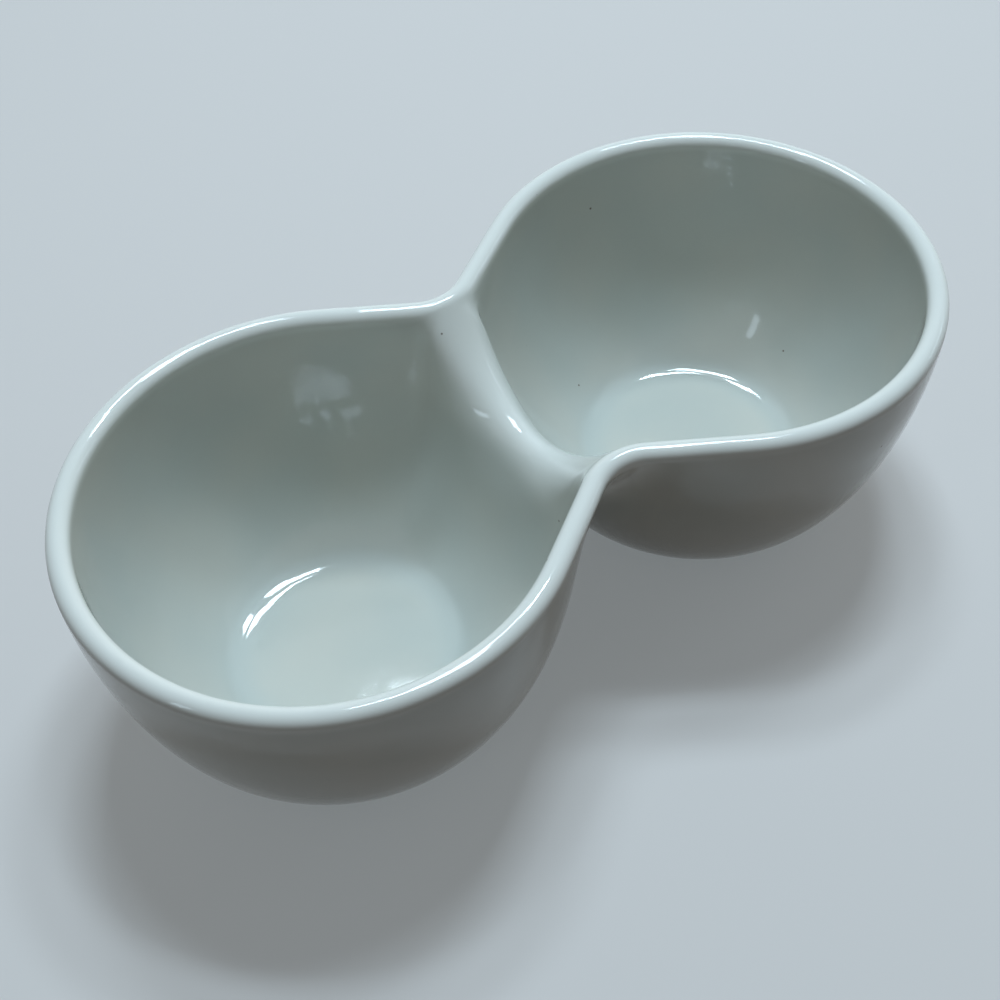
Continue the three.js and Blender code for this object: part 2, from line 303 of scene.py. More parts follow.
@dataclass(frozen=True)
class Wall:
    """One face of a cup's wall, an ellipse from a flat up to the lip and to a line over the middle plane.

    Attributes:
        lip: Lip that the wall runs into.
        face: Face of the wall.
        side: Radius at the lip's level.
        core: Radius at which the ellipse would be level.
        drop: Height of the ellipse.
        flat_level: Height of the flat above the table.
        flat_round: Size of the round between the flat and the wall.
        line_drop: How far the crest or the groove hangs under the lip's level at the middle.
        lip_run: Height of the blend under the lip.
        line_run: Height of the blend under the crest or the groove.
        fullness: How squarely the wall turns into the crest or the groove.
        flat_shares: Radii of the rings on the flat, as shares of its radius.
        round_steps: Steps over the round at the flat.
        side_steps: Steps up the ellipse.
        blend_steps: Steps up the blend.
        middle_steps: Steps from the waist to the lowest point of the crest or the groove.
        pinch_reach: Distance from the middle plane within which the wall leans back towards the waist.
        ridge_half: Half width of the ridge at the middle, or 0 for a wall that keeps to its round.
        ridge_flare: How much wider each half of the ridge is at the waist.
        mouth_corner: Size of the rounded corner between the cup's round and the ridge's flank.
        swell_power: How fast the swell fades out down the wall.
        least_heading: Least share of a section's heading that counts as towards the ridge.
        plain_pinch: Nearness to the waist at which the blend begins to turn squarely.
        plain_handle: Length of a plain blend's handles, as a share of its span.
        hang_rounds: Rounds in which the lean at the waist settles.
    """

    lip: Lip
    face: Face
    side: float
    core: float
    drop: float
    flat_level: float
    flat_round: float
    line_drop: float
    lip_run: float
    line_run: float
    fullness: float
    pinch_reach: float
    ridge_half: float = 0.0
    ridge_flare: float = 0.0
    mouth_corner: float = 0.007
    swell_power: int = 3
    least_heading: float = 0.1
    flat_shares: tuple[float, ...] = (0.15, 0.4, 0.65, 0.85, 0.95)
    round_steps: int = 5
    side_steps: int = 12
    blend_steps: int = 10
    middle_steps: int = 14
    plain_pinch: float = 0.4
    plain_handle: float = 0.38
    hang_rounds: int = 6

    def hang(self) -> tuple[float, float, float]:
        """How the crest or the groove hangs from the lips of the waist.

        Returns:
            Angle by which the wall leans back at the waist, distance of the line's end from the middle,
            and height of that end over the line's lowest point.
        """
        lean, reach, fall = 0.0, self.lip.waist_reach, self.line_drop
        for _ in range(self.hang_rounds):
            lean = math.atan2(reach, 2 * fall)
            reach = self.lip.waist_reach + self.face.value * self.lip.round * math.cos(lean)
            fall = self.line_drop - self.face.value * self.lip.round * math.sin(lean)
        return lean, reach, fall

    def pinch(self, station: Station) -> float:
        """Nearness of a place on the lip to the waist, from 0 on the cup's arc to 1 at the waist."""
        return 1.0 - smoothstep(station.middle.x, 0.0, self.pinch_reach)

    def lip_tips(self) -> list[Tip]:
        """Ends of the sections at the lip's edge."""
        full_lean = self.hang()[0]
        tips = []
        for station in self.lip.stations():
            lean = full_lean * self.pinch(station)
            point = station.middle + station.out * (self.face.value * self.lip.round * math.cos(lean))
            heading = (point - self.lip.axis).normalized()
            tips.append(
                Tip(
                    point=point,
                    level=self.lip.level - self.face.value * self.lip.round * math.sin(lean),
                    rise=math.atan2(math.cos(lean) * heading.dot(station.out), math.sin(lean)),
                    squareness=smoothstep(self.pinch(station), self.plain_pinch, 1.0),
                    on_ridge=False,
                )
            )
        return tips

    def middle_tips(self) -> list[Tip]:
        """Ends of the sections on the crest or the groove, from the far waist to the near one."""
        _, reach, fall = self.hang()
        tips = []
        for step in range(1, 2 * self.middle_steps):
            share = step / self.middle_steps - 1.0
            across = -share * reach
            slope = 2 * fall * abs(share) / reach
            tips.append(
                Tip(
                    point=Vector((0.0, across)),
                    level=self.lip.level - self.line_drop + fall * share * share,
                    rise=math.atan2(slope * abs(across) / math.hypot(self.lip.cup_reach, across), 1.0),
                    squareness=1.0,
                    on_ridge=True,
                )
            )
        return tips

    def swell(self, tip: Tip) -> float:
        """How far the wall swells past its round under a tip, so that the ridge keeps its width.

        Args:
            tip: Upper end of the section.

        Returns:
            Swell at the lip's level.
        """
        if self.ridge_half == 0.0:
            return 0.0
        span = tip.point - self.lip.axis
        towards_ridge = max(-span.normalized().x, self.least_heading)
        across = self.lip.cup_reach * math.tan(math.acos(towards_ridge))
        ridge = self.ridge_half + self.ridge_flare * min(1.0, across / self.lip.waist_reach) ** 2
        to_ridge = (self.lip.cup_reach - ridge) / towards_ridge
        mouth = to_ridge if tip.on_ridge else soft_least(span.length, to_ridge, self.mouth_corner)
        return mouth - self.side

    def on_wall(self, angle: float, swell: float) -> Vector:
        """Point of the wall at an angle under the lip, as radius and height."""
        ellipse = self.core + (self.side - self.core) * math.cos(angle)
        radius = ellipse + swell * math.cos(angle) ** self.swell_power
        return Vector((radius, self.lip.level - self.drop * math.sin(angle)))

    def up_wall(self, angle: float, swell: float) -> Vector:
        """Way up the wall at an angle under the lip, as a step in radius and height."""
        swelling = self.swell_power * swell * math.cos(angle) ** (self.swell_power - 1)
        return Vector(((self.side - self.core + swelling) * math.sin(angle), self.drop * math.cos(angle)))

    def section(self, tip: Tip) -> list[Vector]:
        """One section of the wall through the cup's axis.

        Args:
            tip: Upper end of the section.

        Returns:
            Points as radius and height, from the middle of the flat up to the tip.
        """
        flat_angle = math.asin((self.lip.level - self.flat_level) / self.drop)
        start_angle = flat_angle - self.flat_round / self.drop
        tip_depth = self.lip.level - tip.level
        run = lerp(self.lip_run, self.line_run, tip_depth / self.line_drop)
        turn_angle = math.asin((tip_depth + run) / self.drop)
        swell = self.swell(tip)
        corner = self.on_wall(flat_angle, swell)
        flat_edge = corner - Vector((self.flat_round, 0.0))
        points = [Vector((flat_edge.x * share, self.flat_level)) for share in self.flat_shares]
        start = self.on_wall(start_angle, swell)
        for step in range(self.round_steps):
            share = step / self.round_steps
            points.append(flat_edge.lerp(corner, share).lerp(corner.lerp(start, share), share))
        for step in range(self.side_steps):
            points.append(self.on_wall(lerp(start_angle, turn_angle, step / self.side_steps), swell))
        return points + self.turn(turn_angle, swell, tip)

    def turn(self, angle: float, swell: float, tip: Tip) -> list[Vector]:
        """Blend from the wall to the tip, which turns more squarely towards the ridge than towards the lip.

        Args:
            angle: Angle under the lip at which the blend leaves the ellipse.
            swell: How far the wall swells past its round.
            tip: Upper end of the section.

        Returns:
            Points as radius and height, both ends included.
        """
        start = self.on_wall(angle, swell)
        end = Vector(((tip.point - self.lip.axis).length, tip.level))
        leaving = self.up_wall(angle, swell).normalized()
        arriving = Vector((math.cos(tip.rise), math.sin(tip.rise)))
        span = end - start
        first_handle = second_handle = self.plain_handle * span.length
        if tip.squareness > 0.0:
            cross = leaving.cross(arriving)
            square_first = self.fullness * span.cross(arriving) / cross
            square_second = self.fullness * leaving.cross(span) / cross
            first_handle = lerp(first_handle, square_first, tip.squareness)
            second_handle = lerp(second_handle, square_second, tip.squareness)
        return interpolate_bezier(
            start, start + leaving * first_handle, end - arriving * second_handle, end, self.blend_steps + 1
        )

    def rows(self) -> Rows:
        """Rings of the wall round the rear cup's axis, from the middle of the flat up to the tips."""
        columns = []
        for tip in self.lip_tips() + self.middle_tips():
            heading = (tip.point - self.lip.axis).normalized()
            column = []
            for radius, height in self.section(tip):
                column.append((self.lip.axis + heading * radius).to_3d() + Vector((0.0, 0.0, height)))
            column[-1] = Vector((tip.point.x, tip.point.y, tip.level))
            columns.append(column)
        return [list(row) for row in zip(*columns)]


class RingSkin:
    """Skin that grows from a circle, ring by ring, as its outer edge is extruded."""

    COLUMN = "column"

    def __init__(self, name: str, first: list[Vector]) -> None:
        """Lays the first ring.

        Args:
            name: Name of the object.
            first: Points of the first ring, in turn about its middle.
        """
        middle = sum(first, Vector((0.0, 0.0, 0.0))) / len(first)
        self.piece = new_circle(name, len(first), (first[0] - middle).length, middle)
        self.number(first, middle)
        self.lay(first)

    def number(self, first: list[Vector], middle: Vector) -> None:
        """Numbers the circle's corners as the points of the first ring, which follow it round.

        Args:
            first: Points of the first ring.
            middle: Middle of the ring.
        """

        def turn_of(point: Vector) -> float:
            """Angle of a point about the middle."""
            return math.atan2(point.y - middle.y, point.x - middle.x)

        shape = bmesh.from_edit_mesh(self.piece.data)
        column = shape.verts.layers.int.new(self.COLUMN)
        order = sorted(range(len(first)), key=lambda index: turn_of(first[index]))
        corners = sorted(shape.verts, key=lambda corner: turn_of(corner.co))
        for corner, index in zip(corners, order):
            corner[column] = index
        bmesh.update_edit_mesh(self.piece.data)

    def lay(self, ring: list[Vector]) -> None:
        """Moves the selected corners to the points of a ring."""
        shape = bmesh.from_edit_mesh(self.piece.data)
        column = shape.verts.layers.int[self.COLUMN]
        for corner in shape.verts:
            if corner.select:
                corner.co = ring[corner[column]]
        bmesh.update_edit_mesh(self.piece.data)

    def keep_first(self, count: int) -> None:
        """Keeps the selected edges between the first columns selected, and drops the rest.

        Args:
            count: Number of columns to keep.
        """
        shape = bmesh.from_edit_mesh(self.piece.data)
        column = shape.verts.layers.int[self.COLUMN]
        kept = []
        for edge in shape.edges:
            if edge.select and max(end[column] for end in edge.verts) < count:
                kept.append(edge)
        for edge in shape.edges:
            edge.select_set(False)
        for edge in kept:
            edge.select_set(True)
        bmesh.update_edit_mesh(self.piece.data)

    def grow(self, rings: Rows) -> None:
        """Extrudes the selected edges once for each ring."""
        for ring in rings:
            bpy.ops.mesh.extrude_edges_move()
            self.lay(ring)

    def done(self) -> Piece:
        """Ends the growing and returns the object."""
        bpy.ops.object.mode_set(mode="OBJECT")
        self.piece.data.attributes.remove(self.piece.data.attributes[self.COLUMN])
        return self.piece


@dataclass
class GlazedBody:
    """Glazed skin of both cups, the saddle and the lip.

    Attributes:
        lip: Lip of the bowl.
        heel_radius: Radius at which the outside would meet the table.
        well_sink: Depth of the well's ellipse under the well's floor.
        floor_radius: Radius of the well's floor, out to its wall.
        floor_level: Height of the well's floor above the table.
        floor_fillet: Size of the round between the well's floor and wall.
        base_level: Height of the base over the foot ring's standing face.
        base_fillet: Size of the round between the base and the outside.
        saddle_dip: How far the crest dips under the middle of the lip's round.
        web_thickness: Thickness of the web under the crest.
        well_run: Height of the blend under the lip in the well.
        crest_run: Height of the blend under the crest.
        side_run: Height of the blend under the lip outside.
        groove_run: Height of the blend under the groove.
        well_pinch: Distance from the middle plane within which the well's wall leans back.
        ridge_half: Half width of the ridge at the middle.
        ridge_flare: How much wider each half of the ridge is at the waist.
        crest_fullness: How squarely the well turns into the crest.
        groove_fullness: How squarely the outside turns into the groove.
        fineness: Levels of subdivision.
        merge_distance: Distance within which two corners are one.
    """

    lip: Lip
    heel_radius: float = 0.025
    well_sink: float = 0.0038
    floor_radius: float = 0.0235
    floor_level: float = 0.0048
    floor_fillet: float = 0.004
    base_level: float = 0.002
    base_fillet: float = 0.0015
    saddle_dip: float = 0.016
    web_thickness: float = 0.013
    well_run: float = 0.011
    crest_run: float = 0.015
    side_run: float = 0.016
    groove_run: float = 0.007
    well_pinch: float = 0.016
    ridge_half: float = 0.0045
    ridge_flare: float = 0.002
    crest_fullness: float = 0.74
    groove_fullness: float = 0.67
    fineness: int = 1
    merge_distance: float = 1e-6

    def well(self) -> Wall:
        """Inner face of a cup's wall."""
        side = self.lip.radius - self.lip.round
        drop = self.lip.level - self.floor_level + self.well_sink
        share = math.sqrt(1.0 - (1.0 - self.well_sink / drop) ** 2)
        return Wall(
            lip=self.lip,
            face=Face.WELL,
            side=side,
            core=(self.floor_radius - side * share) / (1.0 - share),
            drop=drop,
            flat_level=self.floor_level,
            flat_round=self.floor_fillet,
            line_drop=self.saddle_dip,
            lip_run=self.well_run,
            line_run=self.crest_run,
            fullness=self.crest_fullness,
            pinch_reach=self.well_pinch,
            ridge_half=self.ridge_half,
            ridge_flare=self.ridge_flare,
        )

    def outside(self) -> Wall:
        """Outer face of a cup's wall."""
        return Wall(
            lip=self.lip,
            face=Face.OUTSIDE,
            side=self.lip.radius + self.lip.round,
            core=self.heel_radius,
            drop=self.lip.level,
            flat_level=self.base_level,
            flat_round=self.base_fillet,
            line_drop=self.saddle_dip + self.web_thickness,
            lip_run=self.side_run,
            line_run=self.groove_run,
            fullness=self.groove_fullness,
            pinch_reach=self.lip.cup_reach + self.lip.radius * math.cos(self.lip.flank_angle),
        )

    def lip_rings(self, well: Wall, outside: Wall) -> Rows:
        """Rings of the lip's round, from past the well's edge over the crown to the outer edge.

        Args:
            well: Inner face of the wall.
            outside: Outer face of the wall.

        Returns:
            Rings of one point for each station of the lip.
        """
        stations = self.lip.stations()
        inner_lean = well.hang()[0]
        outer_lean = outside.hang()[0]
        rings = []
        for step in range(1, self.lip.round_steps + 1):
            ring = []
            for station in stations:
                angle = lerp(
                    inner_lean * well.pinch(station),
                    math.pi + outer_lean * outside.pinch(station),
                    step / self.lip.round_steps,
                )
                point = station.middle - station.out * (self.lip.round * math.cos(angle))
                ring.append(Vector((point.x, point.y, self.lip.level + self.lip.round * math.sin(angle))))
            rings.append(ring)
        return rings

    def build(self) -> Piece:
        """Models the rear half, mirrors it and smooths it.

        Returns:
            The finished piece.
        """
        well, outside = self.well(), self.outside()
        well_rows, outside_rows = well.rows(), outside.rows()
        lip_count = len(self.lip.stations())

        inner = RingSkin("glazed_body", well_rows[0])
        inner.grow(well_rows[1:])
        inner.keep_first(lip_count)
        inner.grow(self.lip_rings(well, outside))
        piece = inner.done()

        outer = RingSkin("outer_wall", outside_rows[0])
        outer.grow(outside_rows[1:])
        outer_piece = outer.done()

        select_only(piece)
        outer_piece.select_set(True)
        bpy.ops.object.join()
        apply_modifier(piece, "MIRROR", use_mirror_merge=True, merge_threshold=self.merge_distance)
        bpy.ops.object.mode_set(mode="EDIT")
        bpy.ops.mesh.select_all(action="SELECT")
        bpy.ops.mesh.remove_doubles(threshold=self.merge_distance)
        face_outwards()
        apply_modifier(piece, "SUBSURF", levels=self.fineness, render_levels=self.fineness)
        self.close_poles()
        bpy.ops.object.shade_smooth()
        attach(piece, BODY)
        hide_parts("front_bowl", "rear_bowl", "saddle")
        return piece

    def close_poles(self) -> None:
        """Closes the small holes left at the middles of the floors and the bases of the active object."""
        bpy.ops.object.mode_set(mode="EDIT")
        bpy.ops.mesh.select_mode(type="FACE")
        bpy.ops.mesh.select_all(action="SELECT")
        bpy.ops.mesh.fill_holes(sides=0)
        shape = bmesh.from_edit_mesh(bpy.context.object.data)
        for face in shape.faces:
            face.select_set(len(face.verts) > QUAD_CORNERS)
        bmesh.update_edit_mesh(bpy.context.object.data)
        bpy.ops.mesh.poke()
        face_outwards()


@dataclass
class FootRing:
    """Bare ring that a cup stands on.

    Attributes:
        cup: Cup over the ring.
        cup_reach: Distance of the cup's axis from the middle plane.
        diameter: Diameter over the ring.
        width: Width of the ring.
        height: Height of the ring.
        edge: Size of the rounds at its standing face.
        segments: Steps round the ring.
        edge_segments: Steps over each round.
        crease_degrees: Angle from which an edge counts as sharp.
    """

    cup: Cup
    cup_reach: float
    diameter: float = 0.056
    width: float = 0.005
    height: float = 0.002
    edge: float = 0.0008
    segments: int = 160
    edge_segments: int = 5
    crease_degrees: float = 40.0

    @property
    def node(self) -> str:
        """Name of the ring's solid."""
        return f"{self.cup.name.lower()}_foot_ring"

    def build(self) -> Piece:
        """Models the ring from a circle: drawn in to a band, thickened, and rounded at its standing face.

        Returns:
            The finished piece.
        """
        middle = Vector((self.cup.value * self.cup_reach, 0.0, self.height))
        name = f"{self.cup.name.lower()}_foot"
        piece = new_circle(name, self.segments, self.diameter / 2, middle)
        bpy.ops.mesh.extrude_edges_move()
        inner_share = 1.0 - 2.0 * self.width / self.diameter
        bpy.ops.transform.resize(value=(inner_share, inner_share, 1.0), center_override=middle)
        face_outwards()
        apply_modifier(piece, "SOLIDIFY", thickness=self.height, offset=-1.0)
        self.round_edges(piece)
        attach(piece, BODY)
        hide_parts(self.node)
        return piece

    def round_edges(self, piece: Piece) -> None:
        """Rounds the two edges of the standing face.

        Args:
            piece: Ring to round.
        """
        select_only(piece)
        bpy.ops.object.mode_set(mode="EDIT")
        bpy.ops.mesh.select_mode(type="EDGE")
        bpy.ops.mesh.select_all(action="DESELECT")
        crease = math.radians(self.crease_degrees)
        shape = bmesh.from_edit_mesh(piece.data)
        for edge in shape.edges:
            on_table = all(corner.co.z < self.edge for corner in edge.verts)
            edge.select_set(on_table and abs(edge.calc_face_angle(0.0)) > crease)
        bmesh.update_edit_mesh(piece.data)
        bpy.ops.mesh.bevel(offset=self.edge, segments=self.edge_segments, affect="EDGES")
        face_outwards()
        bpy.ops.object.shade_smooth_by_angle(angle=crease)


@dataclass(frozen=True)
class NodeBoard:
    """Node tree that is being laid out.

    Attributes:
        tree: Tree that the nodes go into.
    """

    tree: bpy.types.NodeTree

    def feed(self, socket: Socket, value: object) -> None:
        """Links an output to a socket, or sets the socket's own value.

        Args:
            socket: Input to feed.
            value: Output of another node, or a plain value.
        """
        if isinstance(value, Socket):
            self.tree.links.new(value, socket)
        else:
            socket.default_value = value

    def add(self, kind: str, feeds: dict[str, object] | None = None, **settings: object) -> bpy.types.Node:
        """Adds a node.

        Args:
            kind: Blender's name for the kind of node.
            feeds: Values or outputs for its inputs, by name.
            **settings: Settings of the node.

        Returns:
            The new node.
        """
        node = self.tree.nodes.new(kind)
        for name, value in settings.items():
            setattr(node, name, value)
        for name, value in (feeds or {}).items():
            self.feed(node.inputs[name], value)
        return node

    def math(self, operation: str, *values: object) -> Socket:
        """Adds a Math node and returns its output.

        Args:
            operation: Blender's name for the operation.
            *values: Values or outputs for its inputs, in turn.

        Returns:
            The node's output.
        """
        node = self.add("ShaderNodeMath", operation=operation)
        for socket, value in zip(node.inputs, values):
            self.feed(socket, value)
        return node.outputs[0]

    def ramp(self, value: object, low: object, high: object) -> Socket:
        """Share of the way that a value has gone from low to high, eased at both ends."""
        feeds = {"Value": value, "From Min": low, "From Max": high}
        return self.add("ShaderNodeMapRange", feeds, interpolation_type="SMOOTHSTEP").outputs["Result"]

    def blend(self, share: object, first: object, second: object) -> Socket:
        """Mix of two colours, as an output.

        Args:
            share: Share of the second colour.
            first: First colour or output.
            second: Second colour or output.

        Returns:
            The mixed colour.
        """
        node = self.add("ShaderNodeMix", data_type="RGBA")
        for name, value in (("Factor_Float", share), ("A_Color", first), ("B_Color", second)):
            socket = next(socket for socket in node.inputs if socket.identifier == name)
            self.feed(socket, value)
        return next(socket for socket in node.outputs if socket.identifier == "Result_Color")

    def relief(self, height: object, depth: float) -> Socket:
        """Normal that is bent by a relief of the given height and depth."""
        return self.add("ShaderNodeBump", {"Height": height, "Distance": depth}).outputs["Normal"]


def new_material(name: str) -> tuple[bpy.types.Material, NodeBoard, bpy.types.Node]:
    """Starts a material.

    Args:
        name: Name of the material.

    Returns:
        The material, its node tree and its shader.
    """
    material = bpy.data.materials.new(name)
    material.use_nodes = True
    return material, NodeBoard(material.node_tree), material.node_tree.nodes["Principled BSDF"]


def coat(piece: Piece, material: bpy.types.Material) -> None:
    """Makes a material the only one of a piece."""
    piece.data.materials.clear()
    piece.data.materials.append(material)


def opaque(colour: Colour) -> tuple[float, float, float, float]:
    """Colour with full alpha, as a socket takes it."""
    return (*colour, 1.0)


class Effect(Enum):
    """Effect that both finishes use, with the name of its node group."""

    MOTTLE = "fired mottle"
    SPECKS = "kiln specks"

    def group(self) -> bpy.types.NodeTree:
        """Node group of the effect, made the first time that it is asked for."""
        if self.value in bpy.data.node_groups:
            return bpy.data.node_groups[self.value]
        tree = bpy.data.node_groups.new(self.value, "ShaderNodeTree")
        board = NodeBoard(tree)
        tree.interface.new_socket("Place", in_out="INPUT", socket_type="NodeSocketVector")
        for name in ("Spacing", "Amount"):
            tree.interface.new_socket(name, in_out="INPUT", socket_type="NodeSocketFloat")
        tree.interface.new_socket("Mask", in_out="OUTPUT", socket_type="NodeSocketFloat")
        entry = board.add("NodeGroupInput").outputs
        scale = board.math("DIVIDE", 1.0, entry["Spacing"])
        lay = self.lay_mottle if self is Effect.MOTTLE else self.lay_specks
        board.add("NodeGroupOutput", {"Mask": lay(board, entry["Place"], scale, entry["Amount"])})
        return tree

    @staticmethod
    def lay_mottle(board: NodeBoard, place: Socket, scale: Socket, amount: Socket) -> Socket:
        """Soft clouds, whose contrast grows with the amount.

        Args:
            board: Group to lay the nodes in.
            place: Place on the piece.
            scale: Clouds per metre.
            amount: Contrast, from 0 to 1.

        Returns:
            Mask of the clouds, from 0 to 1.
        """
        feeds = {"Vector": place, "Scale": scale, "Detail": MOTTLE_DETAIL, "Roughness": MOTTLE_ROUGHNESS}
        noise = board.add("ShaderNodeTexNoise", feeds)
        reach = board.math("SUBTRACT", MOTTLE_WIDEST, board.math("MULTIPLY", amount, MOTTLE_GAIN))
        low = board.math("SUBTRACT", MOTTLE_MIDDLE, reach)
        high = board.math("ADD", MOTTLE_MIDDLE, reach)
        return board.ramp(noise.outputs["Fac"], low, high)

    @staticmethod
    def lay_specks(board: NodeBoard, place: Socket, scale: Socket, amount: Socket) -> Socket:
        """Small round dots in a few cells of a scattered grid.

        Args:
            board: Group to lay the nodes in.
            place: Place on the piece.
            scale: Cells per metre.
            amount: Share of the cells that hold a dot.

        Returns:
            Mask of the dots, from 0 to 1.
        """
        cells = board.add("ShaderNodeTexVoronoi", {"Vector": place, "Scale": scale}).outputs
        chance = board.add("ShaderNodeSeparateColor", {"Color": cells["Color"]}).outputs
        radius = board.math("MULTIPLY_ADD", chance["Green"], SPECK_SPREAD, SPECK_LEAST)
        core = board.math("MULTIPLY", radius, SPECK_CORE)
        dot = board.ramp(cells["Distance"], radius, core)
        held = board.math("LESS_THAN", chance["Red"], amount)
        return board.math("MULTIPLY", dot, held)

    def place(self, board: NodeBoard, place: Socket, spacing: float, amount: float) -> Socket:
        """Places the effect in a material.

        Args:
            board: Material's node tree.
            place: Place on the piece.
            spacing: Distance between clouds or cells.
            amount: Contrast of the clouds, or share of the cells that hold a dot.

        Returns:
            The effect's mask.
        """
        node = board.add("ShaderNodeGroup", node_tree=self.group())
        for name, value in (("Place", place), ("Spacing", spacing), ("Amount", amount)):
            board.feed(node.inputs[name], value)
        return node.outputs["Mask"]


@dataclass(frozen=True)
class Glaze:
    """Gloss off-white glaze, which gathers round the floors and over the foot, with painted light that
    makes the lip and the saddle's crest lighter.

    Attributes:
        cup_reach: Distance of a cup's axis from the middle plane.
        lip_level: Height of the middle of the lip's round.
        crest_level: Height of the saddle's crest at its lowest.
        tint: Colour of the glaze.
        cloud_tint: Colour in the clouds of the mottle.
        pool_tint: Colour where the glaze has gathered.
        painted_light_tint: Lighter colour painted on the lip and the crest's top, a painted highlight that
            stands in for the light falling on them.
        speck_tint: Colour of the iron specks.
        lip_fade: How far above and below the middle of the lip's round the painted light fades.
        crest_half: Half width of the band of painted light along the crest.
        crest_reach: Distance from the middle plane at which that band has faded out.
        web_level: Height in the web under the crest at which it has faded out.
        pool_radius: Radius of the ring in which it gathers.
        pool_reach: How far the gathered glaze fades out, along and above the floor.
        pool_top: Height at which the gathered glaze has faded out.
        cloud_spacing: Distance between the clouds.
        cloud_contrast: Contrast of the clouds, from 0 to 1.
        speck_spacing: Distance between the cells that may hold a speck.
        speck_share: Share of those cells that do.
        ripple_spacing: Distance between the ripples of the surface.
        ripple_contrast: How steep the ripples are, from 0 to 1.
        ripple_depth: Depth of the ripples.
        gloss: Roughness of the clean glaze.
        dull_gloss: Roughness in the clouds.
    """

    cup_reach: float
    lip_level: float
    crest_level: float
    tint: Colour = (0.56, 0.59, 0.55)
    cloud_tint: Colour = (0.61, 0.615, 0.56)
    pool_tint: Colour = (0.53, 0.58, 0.555)
    painted_light_tint: Colour = (0.79, 0.81, 0.765)
    speck_tint: Colour = (0.20, 0.165, 0.13)
    lip_fade: float = 0.0015
    crest_half: float = 0.003
    crest_reach: float = 0.010
    web_level: float = 0.033
    pool_radius: float = 0.0235
    pool_reach: float = 0.006
    pool_top: float = 0.012
    cloud_spacing: float = 0.022
    cloud_contrast: float = 0.7
    speck_spacing: float = 0.004
    speck_share: float = 0.03
    ripple_spacing: float = 0.018
    ripple_contrast: float = 0.0
    ripple_depth: float = 0.0003
    gloss: float = 0.03
    dull_gloss: float = 0.08

    def pool(self, board: NodeBoard, place: Socket) -> Socket:
        """Mask of the gathered glaze, a ring about each cup's axis low in the bowl.

        Args:
            board: Material's node tree.
            place: Place on the piece.

        Returns:
            The mask, from 0 to 1.
        """
        along, across, height = board.add("ShaderNodeSeparateXYZ", {"Vector": place}).outputs
        from_axis = board.math("SUBTRACT", board.math("ABSOLUTE", along), self.cup_reach)
        along_square = board.math("MULTIPLY", from_axis, from_axis)
        radius_square = board.math("MULTIPLY_ADD", across, across, along_square)
        from_ring = board.math("SUBTRACT", board.math("SQRT", radius_square), self.pool_radius)
        ring = board.ramp(board.math("ABSOLUTE", from_ring), self.pool_reach, 0.0)
        low = board.ramp(height, self.pool_top, 0.0)
        return board.math("MULTIPLY", ring, low)

    def painted_top_light(self, board: NodeBoard, place: Socket) -> Socket:
        """Mask of the painted light, a lighter band on the lip and along the saddle's crest.

        Args:
            board: Material's node tree.
            place: Place on the piece.

        Returns:
            The mask, from 0 to 1.
        """
        along, _, height = board.add("ShaderNodeSeparateXYZ", {"Vector": place}).outputs
        on_lip = board.ramp(height, self.lip_level - self.lip_fade, self.lip_level + self.lip_fade)
        beside_crest = board.ramp(board.math("ABSOLUTE", along), self.crest_reach, self.crest_half)
        over_web = board.ramp(height, self.web_level, self.crest_level)
        return board.math("MAXIMUM", on_lip, board.math("MULTIPLY", beside_crest, over_web))

    def dress(self, piece: Piece) -> None:
        """Gives the finish to a piece."""
        material, board, shader = new_material("gloss_glaze")
        place = board.add("ShaderNodeTexCoord").outputs["Object"]

        clouds = Effect.MOTTLE.place(board, place, self.cloud_spacing, self.cloud_contrast)
        specks = Effect.SPECKS.place(board, place, self.speck_spacing, self.speck_share)
        colour = board.blend(clouds, opaque(self.tint), opaque(self.cloud_tint))
        colour = board.blend(self.pool(board, place), colour, opaque(self.pool_tint))
        # Painted light: the lip and the crest's top are made lighter, as though more light fell on them.
        colour = board.blend(self.painted_top_light(board, place), colour, opaque(self.painted_light_tint))
        colour = board.blend(specks, colour, opaque(self.speck_tint))
        board.feed(shader.inputs["Base Color"], colour)

        roughness = board.math("MULTIPLY_ADD", clouds, self.dull_gloss - self.gloss, self.gloss)
        board.feed(shader.inputs["Roughness"], roughness)
        ripples = Effect.MOTTLE.place(board, place, self.ripple_spacing, self.ripple_contrast)
        board.feed(shader.inputs["Normal"], board.relief(ripples, self.ripple_depth))
        coat(piece, material)


